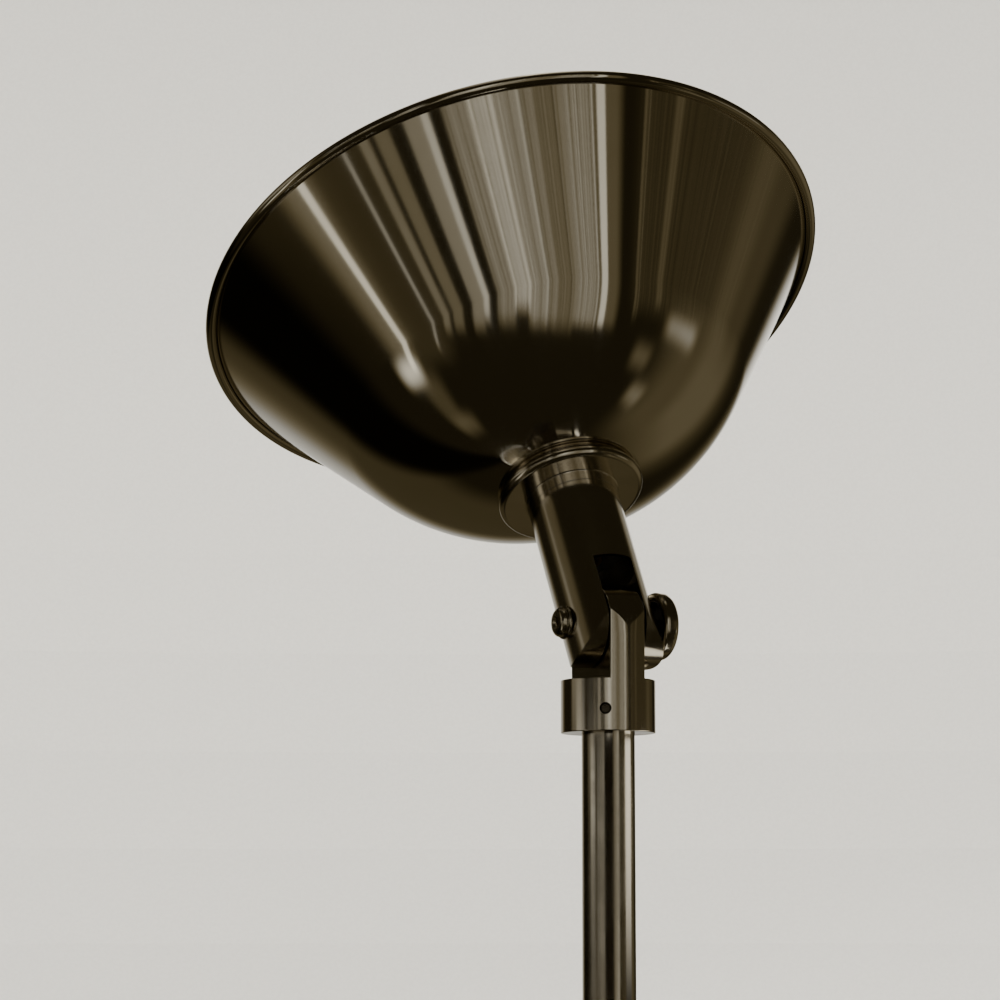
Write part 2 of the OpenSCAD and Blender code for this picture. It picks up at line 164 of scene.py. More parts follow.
# What the polished metal reflects, as a studio of panels round the lamp: azimuth and half width,
# lowest and highest edge, all in degrees, then the level and how soft the sides and the ends are
PANELS = [
    ("tall_strip", -84.5, 0.9, -34, -6, 0.80, 1.0, 4),
    ("tall_glow", -87.5, 1, -34, -6, 0.13, 9, 4),
    ("left_glow", -75, 10, -34, 0, 0.035, 10, 6),
    ("tall_foot", -88, 1, -37, -33, 1.90, 9, 8),
    ("tall_trail", -80, 2, -62, -38, 0.07, 9, 8),
    ("thin_strip", -66.7, 0.4, -28, -4, 0.30, 0.5, 4),
    ("strip_1", -59.5, 1.0, -22, 4, 0.18, 1.2, 4),
    ("strip_2", -53.5, 2.0, -22, 0, 0.15, 0.8, 4),
    ("strip_3", -43.5, 2.4, -22, 0, 0.23, 0.8, 5),
    ("strip_4", -39.5, 0.8, -18, 0, 0.55, 0.8, 5),
    ("curtain_1", -30, 3.4, -20, 24, 0.24, 1.4, 6),
    ("curtain_2", -22.5, 3.2, -14, 24, 0.42, 1.4, 6),
    ("curtain_3", -15, 3.6, -21, 24, 0.28, 1.4, 6),
    ("curtain_4", -9, 1.6, -21, 24, 0.18, 1.4, 6),
    ("curtain_5", -3, 4.2, -22, 24, 0.15, 1.4, 6),
    ("curtain_6", 7.5, 5.0, -20, 24, 0.27, 1.4, 4),
    ("window_jamb", 15.5, 1.0, -19, 24, 0.60, 0.9, 3),
    ("jamb_glow", 18, 2.5, -19, 24, 0.11, 4, 4),
    ("side_line", 32, 0.5, -12, 14, 0.06, 1.5, 4),
    ("thin_right", 44, 0.8, -6, 12, 0.06, 1.5, 3),
    ("side_glow", 62, 26, -8, 14, 0.035, 10, 6),
    ("right_end", 94, 8, -40, 12, 0.045, 12, 8),
    ("window_right", 61, 6, -14, -9, 0.36, 7, 5),
    ("low_right", 43, 2, -30, -24, 0.17, 6, 6),
    ("low_right_end", 53, 2, -43, -39, 0.32, 6, 6),
    ("right_haze", 84, 16, -55, -5, 0.08, 24, 12),
    ("back_haze", 172, 24, -60, -14, 0.045, 16, 8),
    ("flange_under", 128, 12, -66, -52, 0.06, 8, 6),
    ("floor_left", -76, 4, -67, -64, 0.24, 12, 8),
    ("bowl_left", -96, 10, -20, -12, 0.05, 14, 8),
    ("collar_left", -110, 12, 3, 20, 0.22, 7, 1.5),
    ("pole_left", -98, 8, 1.6, 3.2, 0.90, 8, 0.8),
    ("pole_left_low", -60, 12, 0.2, 1.8, 0.75, 12, 0.8),
    ("collar_a", -48.5, 2, 3, 20, 0.28, 1.5, 1),
    ("collar_b", -33, 2.5, 3, 20, 0.20, 1.5, 1),
    ("collar_c", -24.5, 3.5, 3, 20, 0.30, 1.5, 1),
    ("tube_left", -118, 12, 14, 34, 0.09, 9, 8),
    ("tube_right", 122, 8, 14, 28, 0.28, 9, 8),
    ("overhead", 0, 180, 74, 90, 0.30, 1, 8),
]
# The level between the panels, and the folds that vary the panels named curtain and side
DARK_ROOM = 0.016
FOLDED = ("curtain", "side")
FOLDS_PER_DEGREE = 1.1
FOLD_LEVELS = (0.3, 1.6)
# The unlit side to the lamp's left: azimuth, half width, where it has faded out, the share of light
# that is left, and the elevations between which the light comes back
UNLIT = (-136, 12, 28, 0.14, -2, 4)
# The lit wall behind the lamp: azimuth, half width, fade, level, and the elevations between which it
# rises to that level
BACK_WALL = [
    (164, 6, 34, 0.62, -24, 4),
    (146, 8, 14, 0.90, 0, 8),
]
# Dim light is warm, and light of this level or more is nearly white
DIM_TINT = (1.0, 0.80, 0.38, 1)
BRIGHT_TINT = (1.0, 0.97, 0.88, 1)
BRIGHT_LEVEL = 0.4


def add_world():
    """The surroundings that only reflections see: the stage hides them from the camera."""
    world = bpy.data.worlds.new("studio")
    bpy.context.scene.world = world
    world.use_nodes = True
    s = Shader(world.node_tree)
    ray = s.add("TexCoord", out="Generated")
    axes = s.add("SeparateXYZ", (ray,))
    x, y, z = axes.node.outputs
    azimuth = s.math("DEGREES", s.math("ARCTAN2", x, s.math("MULTIPLY", y, -1)))
    elevation = s.math("DEGREES", s.math("ARCSINE", z))

    def off(centre):
        turned = s.add("Math", (s.math("SUBTRACT", azimuth, centre), 180, -180), operation="WRAP")
        return s.math("ABSOLUTE", turned)

    def height(low, high, soft):
        above = s.between(elevation, low - soft, low + soft)
        below = s.between(elevation, high - soft, high + soft, 1.0, 0.0)
        return s.math("MULTIPLY", above, below)

    waves = {"W": azimuth, "Scale": FOLDS_PER_DEGREE, "Detail": 3.0, "Roughness": 0.9}
    folds = s.add("TexNoise", waves, noise_dimensions="1D")
    folds = s.between(folds, 0.3, 0.7, *FOLD_LEVELS)
    total = DARK_ROOM
    for name, centre, half, low, high, level, soft_side, soft_end in PANELS:
        width = s.between(off(centre), half, half + soft_side, 1.0, 0.0)
        patch = s.math("MULTIPLY", s.math("MULTIPLY", width, height(low, high, soft_end)), level)
        if name.startswith(FOLDED):
            patch = s.math("MULTIPLY", patch, folds)
        total = s.math("ADD", total, patch)
    centre, half, faded, left, low, high = UNLIT
    dimmed = s.between(off(centre), half, faded, left, 1.0)
    total = s.math("MULTIPLY", total, s.math("MAXIMUM", dimmed, s.between(elevation, low, high)))
    for centre, half, fade, level, low, high in BACK_WALL:
        width = s.between(off(centre), half, half + fade, level, 0.0)
        total = s.math("ADD", total, s.math("MULTIPLY", width, s.between(elevation, low, high)))
    tint = s.blend(s.between(total, 0.0, BRIGHT_LEVEL), DIM_TINT, BRIGHT_TINT)
    glow = s.add("Background", {"Color": tint, "Strength": total})
    s.add("OutputWorld", {"Surface": glow})
    world.cycles.sampling_method = "NONE"


# The floor that reflections may see, and the round sweep that only the camera sees
FLOOR_R = 0.150
STAGE_R = 9.0
STAGE_H = 7.5
SWEEP_R = 2.5
SWEEP_STEPS = 12


def paper():
    """Plain pale paper for the floor and the sweep behind it."""
    material, s, where = new_material("paper")
    fibre = s.noise(where, 90.0, 4.0)
    shade = s.blend(s.between(fibre, 0.35, 0.65), (0.80, 0.79, 0.755, 1), (0.83, 0.82, 0.785, 1))
    skin = s.add("BsdfPrincipled", {"Base Color": shade, "Roughness": 0.9})
    s.add("OutputMaterial", {"Surface": skin})
    return material


def add_stage():
    material = paper()
    floor = lathe("floor", [(0, 0), (FLOOR_R / MM, 0)], POLE, closed=False)
    sweep = [(FLOOR_R / MM, 0), ((STAGE_R - SWEEP_R) / MM, 0)]
    for step in range(1, SWEEP_STEPS + 1):
        a = math.pi / 2 * step / SWEEP_STEPS
        sweep.append(((STAGE_R - SWEEP_R * (1 - math.sin(a))) / MM, SWEEP_R * (1 - math.cos(a)) / MM))
    sweep += [(STAGE_R / MM, STAGE_H / MM)]
    backdrop = lathe("backdrop", sweep, POLE, closed=False)
    backdrop.visible_glossy = False
    for part in (floor, backdrop):
        part.data.materials.append(material)


# Curved cards close round the pole, which only the polished metal sees: azimuth and half width in
# degrees, lowest and highest edge in millimetres, and the level that the card shines with. A card that
# shines reaches that level this far below its top
CARD_R = 45.0
CARD_STEPS = 12
CARD_FULL_BELOW = 20
CARD_TINT = (1.0, 0.95, 0.84, 1)
CARDS = [
    ("black_card", -25, 17, 60.0, 1355.5, 0.0),
    ("light_card", 57, 15, 1230.0, 1354.0, 1.40),
]


def card_surface(name, low, high, level):
    """Dull black, or a glow that fades out towards the card's foot."""
    material, s, where = new_material(name)
    if not level:
        nap = s.noise(where, 300.0)
        shade = s.blend(nap, (0.006, 0.005, 0.003, 1), (0.010, 0.008, 0.005, 1))
        matt = {"Base Color": shade, "Roughness": 1.0, "Specular IOR Level": 0.0}
        skin = s.add("BsdfPrincipled", matt)
    else:
        z = s.add("SeparateXYZ", (where,), out=2)
        rise = s.between(z, low * MM, (high - CARD_FULL_BELOW) * MM)
        skin = s.add("Emission", {"Color": CARD_TINT, "Strength": s.math("MULTIPLY", rise, level)})
    s.add("OutputMaterial", {"Surface": skin})
    return material


def add_cards():
    for name, azimuth, half, low, high, level in CARDS:
        bm = bmesh.new()
        columns = []
        for step in range(CARD_STEPS + 1):
            a = math.radians(azimuth + half * (2 * step / CARD_STEPS - 1))
            x, y = CARD_R * math.sin(a), -CARD_R * math.cos(a)
            columns.append([bm.verts.new((x, y, z)) for z in (low, high)])
        for left, right in zip(columns, columns[1:]):
            bm.faces.new([left[0], right[0], right[1], left[1]])
        card = new_object(name, bm, POLE)
        card.data.materials.append(card_surface(name, low, high, level))
        card.visible_camera = False
        card.visible_diffuse = False
        card.visible_shadow = False
        card.visible_transmission = False


# Soft boxes: place, size in metres and power in watts; each one faces this point of the lamp
LIT_POINT = Vector((0, 0, 1))
LIGHT_COLOUR = (1.0, 0.98, 0.94)
SOFT_BOXES = [
    ("overhead", (0.0, 0.0, 6.5), 6.0, 950),
    ("key", (-3.5, -4.5, 4.5), 3.0, 420),
    ("fill", (4.5, -2.0, 3.5), 3.0, 200),
    ("back", (1.0, 5.5, 5.0), 4.0, 420),
]


def add_lights():
    for name, place, size, power in SOFT_BOXES:
        data = bpy.data.lights.new(name, "AREA")
        data.shape = "SQUARE"
        data.size = size
        data.energy = power
        data.color = LIGHT_COLOUR
        light = bpy.data.objects.new(name, data)
        bpy.context.collection.objects.link(light)
        turn = (LIT_POINT - Vector(place)).to_track_quat("-Z", "Y").to_matrix().to_4x4()
        light.matrix_world = Matrix.Translation(place) @ turn
        light.visible_camera = False
        light.visible_glossy = False


# ---- Mesh helpers: every outline is in millimetres, as (radius, height) ----

MERGE_MM = 1e-5
BEVEL_STEPS = 3
NORMAL_WEIGHT = 80


def arc(centre, radius, start, end, steps):
    """Points on an arc, from one angle in degrees to the other."""
    points = []
    for i in range(steps + 1):
        a = math.radians(start + (end - start) * i / steps)
        points.append((centre[0] + radius * math.cos(a), centre[1] + radius * math.sin(a)))
    return points


def rounded(points, closed=True, steps=4):
    """An outline with round corners: a point may carry its corner's radius as a third number."""
    count = len(points)
    out = []
    for i, point in enumerate(points):
        end = not closed and i in (0, count - 1)
        if len(point) == 2 or end:
            out.append(tuple(point[:2]))
            continue
        here = Vector(point[:2])
        back = (Vector(points[i - 1][:2]) - here).normalized()
        on = (Vector(points[(i + 1) % count][:2]) - here).normalized()
        half = back.angle(on) / 2
        centre = here + (back + on).normalized() * (point[2] / math.sin(half))
        first = here + back * (point[2] / math.tan(half)) - centre
        last = here + on * (point[2] / math.tan(half)) - centre
        turn = math.atan2(first.x * last.y - first.y * last.x, first.dot(last))
        for k in range(steps + 1):
            a = math.atan2(first.y, first.x) + turn * k / steps
            out.append((centre.x + point[2] * math.cos(a), centre.y + point[2] * math.sin(a)))
    return out


def new_object(name, bm, place):
    """Closes a bmesh in millimetres into an object in metres, in the frame that place gives."""
    bmesh.ops.remove_doubles(bm, verts=bm.verts, dist=MERGE_MM)
    bmesh.ops.recalc_face_normals(bm, faces=bm.faces)
    bmesh.ops.scale(bm, vec=(MM, MM, MM), verts=bm.verts)
    mesh = bpy.data.meshes.new(name)
    bm.to_mesh(mesh)
    bm.free()
    obj = bpy.data.objects.new(name, mesh)
    bpy.context.collection.objects.link(obj)
    obj.matrix_world = place
    return obj


def lathe(name, outline, place, closed=True, segments=160, shape=None, phase=0.0):
    """Turns an outline round the local Z axis. shape(r, z, angle) may change a point's radius, and
    phase turns every point by that share of a segment."""
    bm = bmesh.new()
    rings = []
    for r, z in outline:
        if r == 0:
            rings.append([bm.verts.new((0, 0, z))] * segments)
            continue
        ring = []
        for i in range(segments):
            a = 2 * math.pi * (i + phase) / segments
            reach = shape(r, z, a) if shape else r
            ring.append(bm.verts.new((reach * math.cos(a), reach * math.sin(a), z)))
        rings.append(ring)
    pairs = list(zip(rings, rings[1:]))
    if closed:
        pairs.append((rings[-1], rings[0]))
    for low, high in pairs:
        for i in range(segments):
            j = (i + 1) % segments
            corners = []
            for vert in (low[i], low[j], high[j], high[i]):
                if vert not in corners:
                    corners.append(vert)
            if len(corners) > 2:
                bm.faces.new(corners)
    return new_object(name, bm, place)


def prism(name, sides, radius, low, high, place):
    """A cutter with a regular outline along the local Z axis."""
    outline = [(0, low), (radius, low), (radius, high), (0, high)]
    return lathe(name, outline, place, closed=False, segments=sides, phase=0.5)


def block(name, low, high, place):
    """A box between two corners."""
    bm = bmesh.new()
    for vert in bmesh.ops.create_cube(bm, size=1.0)["verts"]:
        vert.co = [a if c < 0 else b for c, a, b in zip(vert.co, low, high)]
    return new_object(name, bm, place)


def combine(obj, others, operation="DIFFERENCE"):
    """Cuts the others out of obj, joins them to it or keeps what they share, and deletes them."""
    for other in others:
        step = obj.modifiers.new(operation.lower(), "BOOLEAN")
        step.operation = operation
        step.solver = "EXACT"
        step.object = other
    graph = bpy.context.evaluated_depsgraph_get()
    mesh = bpy.data.meshes.new_from_object(obj.evaluated_get(graph))
    obj.modifiers.clear()
    obj.data = mesh
    for other in others:
        bpy.data.objects.remove(other)
    return obj


def finish(obj, body, nodes, slot, looks, sharp=38, bevel=0.0):
    """Gives a piece its shading, finish, body and the nodes that it stands for."""
    mesh = obj.data
    mesh.shade_smooth()
    mesh.set_sharp_from_angle(angle=math.radians(sharp))
    if bevel:
        edge = obj.modifiers.new("bevel", "BEVEL")
        edge.width = bevel * MM
        edge.segments = BEVEL_STEPS
        edge.limit_method = "ANGLE"
        edge.angle_limit = math.radians(sharp)
    even = obj.modifiers.new("normals", "WEIGHTED_NORMAL")
    even.keep_sharp = not bevel
    even.weight = NORMAL_WEIGHT
    if not mesh.materials:
        mesh.materials.append(looks[slot])
    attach(obj, body)
    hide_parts(*nodes)
    return obj


# ---- Finishes ----

NICKEL = (0.66, 0.615, 0.52)
STEEL = (0.48, 0.47, 0.45)
# How much darker the tarnish is, and the depth in metres of hair scratches and of rings of strength 1
TARNISH = (0.86, 0.84, 0.78)
HAIR_DEPTH = 1.0e-6
RING_DEPTH = 1.0e-6


def plated(name, tint, gloss, spun=0.0, lines=0.0, line_width=0.5, wear=0.15):
    """Bright plated metal: faint tarnish, wiped smudges, hair scratches and, where lines isn't 0, the
    tool's fine rings. spun stretches its gloss round the axis."""
    material, s, where = new_material(name)
    cloud = s.noise(where, 9.0, 4.0, 0.6, 0.4)
    wipe = s.noise(s.stretched(where, (30, 30, 12)), 1.0, 5.0, 0.65, 1.2)
    hair = s.noise(s.stretched(where, (900, 900, 60)), 1.0, 2.0)
    dark = tuple(c * d for c, d in zip(tint, TARNISH))
    colour = s.blend(s.between(cloud, 0.35, 0.72, 0.0, 0.6), (*tint, 1), (*dark, 1))
    rough = s.between(wipe, 0.35, 0.75, gloss, gloss * (1 + 4 * wear))
    height = s.math("MULTIPLY", hair, HAIR_DEPTH)
    if lines:
        axes = s.add("SeparateXYZ", (where,)).node.outputs
        along = s.math("MULTIPLY", axes[2], 1 / (line_width * MM))
        ripple = s.add("TexNoise", {"W": along, "Scale": 1.0, "Detail": 2.0}, noise_dimensions="1D")
        height = s.math("ADD", height, s.math("MULTIPLY", ripple, lines * RING_DEPTH))
    bump = s.add("Bump", {"Strength": 1.0, "Distance": 1.0, "Height": height})
    inputs = {"Base Color": colour, "Metallic": 1.0, "Roughness": rough, "Normal": bump}
    if spun:
        inputs["Anisotropic"] = spun
        inputs["Anisotropic Rotation"] = 0.25
        inputs["Tangent"] = s.add("Tangent", direction_type="RADIAL", axis="Z")
    s.add("OutputMaterial", {"Surface": s.add("BsdfPrincipled", inputs)})
    return material


def moulded(name, tint, gloss, grain=0.00002, scale=500.0, spread=0.12):
    """Plastic, fibre, rubber or glazed ware: mottled colour, uneven gloss and a fine surface."""
    material, s, where = new_material(name)
    cloud = s.noise(where, 60.0, 4.0)
    fine = s.noise(where, scale, 3.0)
    other = tuple(min(1.0, c * (1 + spread)) for c in tint)
    colour = s.blend(s.between(cloud, 0.3, 0.7), (*tint, 1), (*other, 1))
    rough = s.between(cloud, 0.3, 0.7, gloss, min(1.0, gloss * 1.3))
    height = s.math("MULTIPLY", fine, grain)
    bump = s.add("Bump", {"Strength": 1.0, "Distance": 1.0, "Height": height})
    inputs = {"Base Color": colour, "Roughness": rough, "Normal": bump}
    s.add("OutputMaterial", {"Surface": s.add("BsdfPrincipled", inputs)})
    return material


def frosted(name):
    """The bulb's inside-frosted glass: a smooth skin over a milky wall."""
    material, s, where = new_material(name)
    cloud = s.noise(where, 40.0, 3.0)
    colour = s.blend(s.between(cloud, 0.3, 0.7), (0.86, 0.85, 0.82, 1), (0.92, 0.91, 0.89, 1))
    skin = s.add("BsdfPrincipled", {
        "Base Color": colour, "Roughness": s.between(cloud, 0.3, 0.7, 0.30, 0.42),
        "Transmission Weight": 0.25, "IOR": 1.5, "Coat Weight": 0.6, "Coat Roughness": 0.05})
    s.add("OutputMaterial", {"Surface": skin})
    return material


def make_looks():
    """Every finish, by the name of its material slot."""
    return {
        "shade_nickel": plated("shade_nickel", NICKEL, 0.065, spun=0.97, lines=0.4, line_width=1.6,
                               wear=0.08),
        "shade_inside": plated("shade_inside", (0.80, 0.78, 0.72), 0.34, spun=0.6, lines=1.0),
        "turned_nickel": plated("turned_nickel", NICKEL, 0.12, lines=0.25, line_width=0.4),
        "pole_nickel": plated("pole_nickel", NICKEL, 0.13, wear=0.25),
        "base_nickel": plated("base_nickel", NICKEL, 0.14, spun=0.4, lines=0.3),
        "screw_steel": plated("screw_steel", (0.090, 0.078, 0.056), 0.24, lines=0.5, line_width=0.3),
        # The knob's recess: near-black metal that is painted shade, standing in for the shadow inside
        # the recess
        "knob_recess_painted_shade": plated("knob_recess_painted_shade", (0.060, 0.052, 0.038), 0.42, lines=1.0, line_width=0.3),
        "zinc_steel": plated("zinc_steel", STEEL, 0.32, wear=0.3),
        "contact_brass": plated("contact_brass", (0.72, 0.53, 0.24), 0.22, wear=0.3),
        "holder_porcelain": moulded("holder_porcelain", (0.76, 0.74, 0.69), 0.12, 0.00001, 80.0, 0.05),
        "bulb_frost": frosted("bulb_frost"),
        "bulb_metal": plated("bulb_metal", (0.74, 0.73, 0.70), 0.24, lines=0.6),
        "filament_metal": plated("filament_metal", (0.35, 0.34, 0.33), 0.3),
        "black_fibre": moulded("black_fibre", (0.020, 0.019, 0.018), 0.55, 0.00004, 700.0, 0.5),
        "black_nylon": moulded("black_nylon", (0.022, 0.022, 0.022), 0.38, 0.00002, 900.0, 0.4),
        "white_nylon": moulded("white_nylon", (0.74, 0.73, 0.69), 0.42),
        "iron": moulded("iron", (0.055, 0.053, 0.050), 0.62, 0.00010, 260.0, 0.5),
        "foot_rubber": moulded("foot_rubber", (0.030, 0.029, 0.028), 0.7, 0.00005, 600.0, 0.4),
    }


# ---- Shade and head ----

# Lengths in millimetres and angles in degrees; heights are along the shade's axis, from the pivot
SEAT_Z = 73.0
SEAT_R = 30.0
HOLE_R = 19.2
KNEE_R = 89.5
BOWL_R = 105.0
WALL_ANGLE = 34.5
SHEET = 1.0
BEAD_R = 2.6
RIM_R = 140.0
RIM_SET_IN = 0.5
BEAD_DROP = 1.0
HEM_GAP = 0.35
HEM_DEPTH = 0.9
BOWL_STEPS = 72
WALL_STEPS = 12
BEAD_STEPS = 44


def make_shade(looks):
    """The spun shade: seat, bowl, cone wall and a rolled bead with the hem's dark line under it."""
    wall = math.radians(WALL_ANGLE)
    run = Vector((math.sin(wall), math.cos(wall)))
    out = Vector((math.cos(wall), -math.sin(wall)))
    bowl_r = KNEE_R - BOWL_R * math.cos(wall)
    bowl_z = SEAT_Z + math.sqrt(BOWL_R ** 2 - (SEAT_R - bowl_r) ** 2)
    knee = Vector((KNEE_R, bowl_z - BOWL_R * math.sin(wall)))
    seat_angle = -math.degrees(math.acos((SEAT_R - bowl_r) / BOWL_R))
    top_r = RIM_R - BEAD_R - RIM_SET_IN
    top = knee + run * ((top_r - KNEE_R) / run.x)
    bead = Vector((RIM_R - BEAD_R, top.y - BEAD_DROP))
    # Where the wall's two faces run into the bead, seen from the bead's centre
    gap = (bead - top).dot(out)
    outer_meet = -out * gap - run * math.sqrt(BEAD_R ** 2 - gap ** 2)
    inner_meet = -out * (gap + SHEET) - run * math.sqrt(BEAD_R ** 2 - (gap + SHEET) ** 2)
    start = math.degrees(math.atan2(outer_meet.y, outer_meet.x)) + math.degrees(HEM_GAP / BEAD_R)
    end = math.degrees(math.atan2(inner_meet.y, inner_meet.x)) + 360
    hem = bead + outer_meet + run * HEM_DEPTH

    outline = [(HOLE_R, SEAT_Z), (SEAT_R - 3, SEAT_Z), (SEAT_R - 1, SEAT_Z + 0.1)]
    outline += arc((bowl_r, bowl_z), BOWL_R, seat_angle, -WALL_ANGLE, BOWL_STEPS)[1:]
    high = bead + outer_meet
    outline += [tuple(knee + (high - knee) * k / WALL_STEPS) for k in range(1, WALL_STEPS + 1)]
    outline += [tuple(hem)]
    outline += arc(bead, BEAD_R, start, end, BEAD_STEPS)
    low_in = knee - out * SHEET
    high_in = bead + inner_meet
    outline += [tuple(high_in + (low_in - high_in) * k / WALL_STEPS) for k in range(1, WALL_STEPS)]
    outline += arc((bowl_r, bowl_z), BOWL_R - SHEET, -WALL_ANGLE, seat_angle, BOWL_STEPS)
    outline += [(SEAT_R - 3, SEAT_Z + SHEET), (HOLE_R, SEAT_Z + SHEET)]
    shade = lathe("shade_spun", outline, HEAD, segments=320)
    shade.data.materials.append(looks["shade_nickel"])
    shade.data.materials.append(looks["shade_inside"])
    # Faces that look inward or up, except round the rim, have the inside's finish
    for face in shade.data.polygons:
        middle = face.center / MM
        r = math.hypot(middle.x, middle.y)
        inward = face.normal.x * middle.x + face.normal.y * middle.y < 0 or face.normal.z > 0.3
        if inward and r < top_r - 2:
            face.material_index = 1
    finish(shade, "head", ["shade"], "shade_nickel", looks, sharp=50)


def make_flange(looks):
    """The turned fitter under the shade: a short neck, a flat underside and a thick rounded lip."""
    neck_r, neck_z, under_z, fillet = 20.0, 61.6, 66.3, 0.6
    lip_r, lip_z, lip = 29.0, 69.0, 2.7
    step_r, step_z, top_z, bore_r, bore_z = 28.5, 72.2, 72.9, 18.75, 65.9
    spigot_r, spigot_bore_r, spigot_z = 18.15, 17.5, 54.0
    outline = rounded([(spigot_r, neck_z), (neck_r, neck_z, 0.15), (neck_r, under_z - fillet)],
                      closed=False)
    outline += arc((neck_r + fillet, under_z - fillet), fillet, 180, 90, 12)[1:]
    outline += arc((lip_r, lip_z), lip, -90, 90, 28)
    outline += rounded([(step_r, step_z), (step_r, top_z, 0.2), (bore_r, top_z, 0.2), (bore_r, bore_z),
                        (spigot_bore_r, bore_z), (spigot_bore_r, spigot_z), (spigot_r, spigot_z)],
                       closed=False)
    flange = lathe("fitter_flange_turned", outline, HEAD, segments=200)
    finish(flange, "head", ["fitter_flange"], "turned_nickel", looks)


TUBE_R = 19.75
TUBE_WALL = 1.5
SLOT_HALF = 8.75
FRONT_SLOT_TOP = 22.2
BACK_SLOT_TOP = 11.5
CHEEK_TOP = 14.0
EAR_R = 18.5
TUBE_HIGH = 61.5
BOLT_HOLE_R = 3.0


def make_head_tube(looks):
    """The head's bar: bored from its top, slotted at its foot between two round-ended cheeks."""
    # Cutters reach past the bar, and run past each other's ends by this much
    foot, reach, over = -EAR_R - 1, 2 * TUBE_R, 1
    bore_r = TUBE_R - TUBE_WALL
    outline = [(0, foot)] + [(TUBE_R, z) for z in (foot, -8, 2, 12, 24, 36, 48, 58, TUBE_HIGH)]
    outline += [(bore_r, TUBE_HIGH), (bore_r, CHEEK_TOP), (0, CHEEK_TOP)]
    tube = lathe("head_tube_slotted", outline, HEAD, closed=False)
    # What lies below the bolt outside the cheeks' round ends, and the bore's middle between the cheeks
    ends = block("ends", (-reach, -reach, -reach), (reach, reach, 0), HEAD)
    combine(ends, [prism("round", 160, EAR_R, -2 * reach, 2 * reach, BOLT)])
    core = block("core", (-SLOT_HALF, -reach, foot - over), (SLOT_HALF, reach, CHEEK_TOP + over), HEAD)
    bore = [(0, foot - 2 * over), (bore_r, foot - 2 * over), (bore_r, CHEEK_TOP + 2 * over),
            (0, CHEEK_TOP + 2 * over)]
    combine(core, [lathe("bore", bore, HEAD, closed=False)], "INTERSECT")
    cutters = [
        ends,
        core,
        block("front_slot", (-SLOT_HALF, -reach, foot - over), (SLOT_HALF, 0, FRONT_SLOT_TOP), HEAD),
        block("back_slot", (-SLOT_HALF, -over, foot - over), (SLOT_HALF, reach, BACK_SLOT_TOP), HEAD),
        prism("hole", 48, BOLT_HOLE_R, -reach, reach, BOLT),
    ]
    combine(tube, cutters)
    finish(tube, "head", ["head_tube"], "turned_nickel", looks, bevel=0.22)


def make_shade_ring(looks):
    """The ring that clamps the shade from inside, with a gripped edge."""
    teeth, depth, z0 = 48, 0.35, 74.1

    def grip(r, z, a):
        return r - depth * (0.5 + 0.5 * math.cos(teeth * a)) if r > 28.4 else r

    outline = rounded([
        (18.75, z0), (28, z0), (29, z0 + 1), (29, z0 + 3), (28, z0 + 4, 0.3), (23.5, z0 + 4, 0.6),
        (22.5, z0 + 5, 0.5), (22.5, z0 + 9, 0.4), (21.7, z0 + 9.8, 0.4), (18.75, z0 + 9.8, 0.2)])
    ring = lathe("shade_ring_gripped", outline, HEAD, segments=384, shape=grip)
    finish(ring, "head", ["shade_ring"], "turned_nickel", looks)


def make_bulb(looks):
    """A round frosted bulb in one smooth sweep from its neck."""
    middle, radius, neck, wall = 138.0, 30.0, 13.5, 0.8
    sweep, handle, steps = 50, 9, 12
    turn, lean = math.radians(sweep), math.radians(90 - sweep)
    low, high = (neck, 92.1), (radius * math.cos(turn), middle - radius * math.sin(turn))
    hand_high = (high[0] - handle * math.cos(lean), high[1] - handle * math.sin(lean))
    controls = (low, (neck, 101.0), hand_high, high)
    outside = [(neck, 84.1), (neck, 88.0), low]
    for t in [k / steps for k in range(1, steps)]:
        weights = ((1 - t) ** 3, 3 * t * (1 - t) ** 2, 3 * t * t * (1 - t), t ** 3)
        outside.append(tuple(sum(w * c[i] for w, c in zip(weights, controls)) for i in (0, 1)))
    inside = [(r - wall, z) for r, z in outside]
    for side, r in ((outside, radius), (inside, radius - wall)):
        side += arc((0, middle), r, -sweep, 90, 40)[:-1] + [(0, middle + r)]
    bulb = lathe("bulb_frosted", outside + inside[::-1], HEAD, segments=96)
    finish(bulb, "head", ["bulb_glass"], "bulb_frost", looks)


def make_bolt(looks):
    """The pivot bolt: a domed head with a dished top and a hexagon socket."""
    shank_r, end, head, head_r, dome_r = 2.95, 26.0, 20.95, 6.2, 2.2
    dish_r, dish_z, socket_r = 2.3, -head - 2.3, 1.7
    outline = [(0, end), (shank_r - 0.35, end), (shank_r, end - 0.4), (shank_r, -head), (head_r, -head)]
    outline += arc((head_r - dome_r, -head - 1.0), dome_r, 0, -80, 12)
    outline += [(3.0, -head - 3.2), (dish_r, dish_z), (0, dish_z)]
    bolt = lathe("pivot_bolt_domed", outline, BOLT, closed=False, segments=96)
    combine(bolt, [prism("socket", 6, socket_r, -head - 4, -head - 1.0, BOLT)])
    finish(bolt, "head", ["pivot_bolt"], "turned_nickel", looks)


def make_washer(looks):
    """The flat washer between the bolt's head and the tube."""
    outline = rounded([(3.0, -20.85), (7.0, -20.85, 0.25), (7.0, -19.8, 0.25), (3.0, -19.8)])
    washer = lathe("pivot_washer_turned", outline, BOLT, segments=96)
    finish(washer, "head", ["pivot_washer"], "turned_nickel", looks)


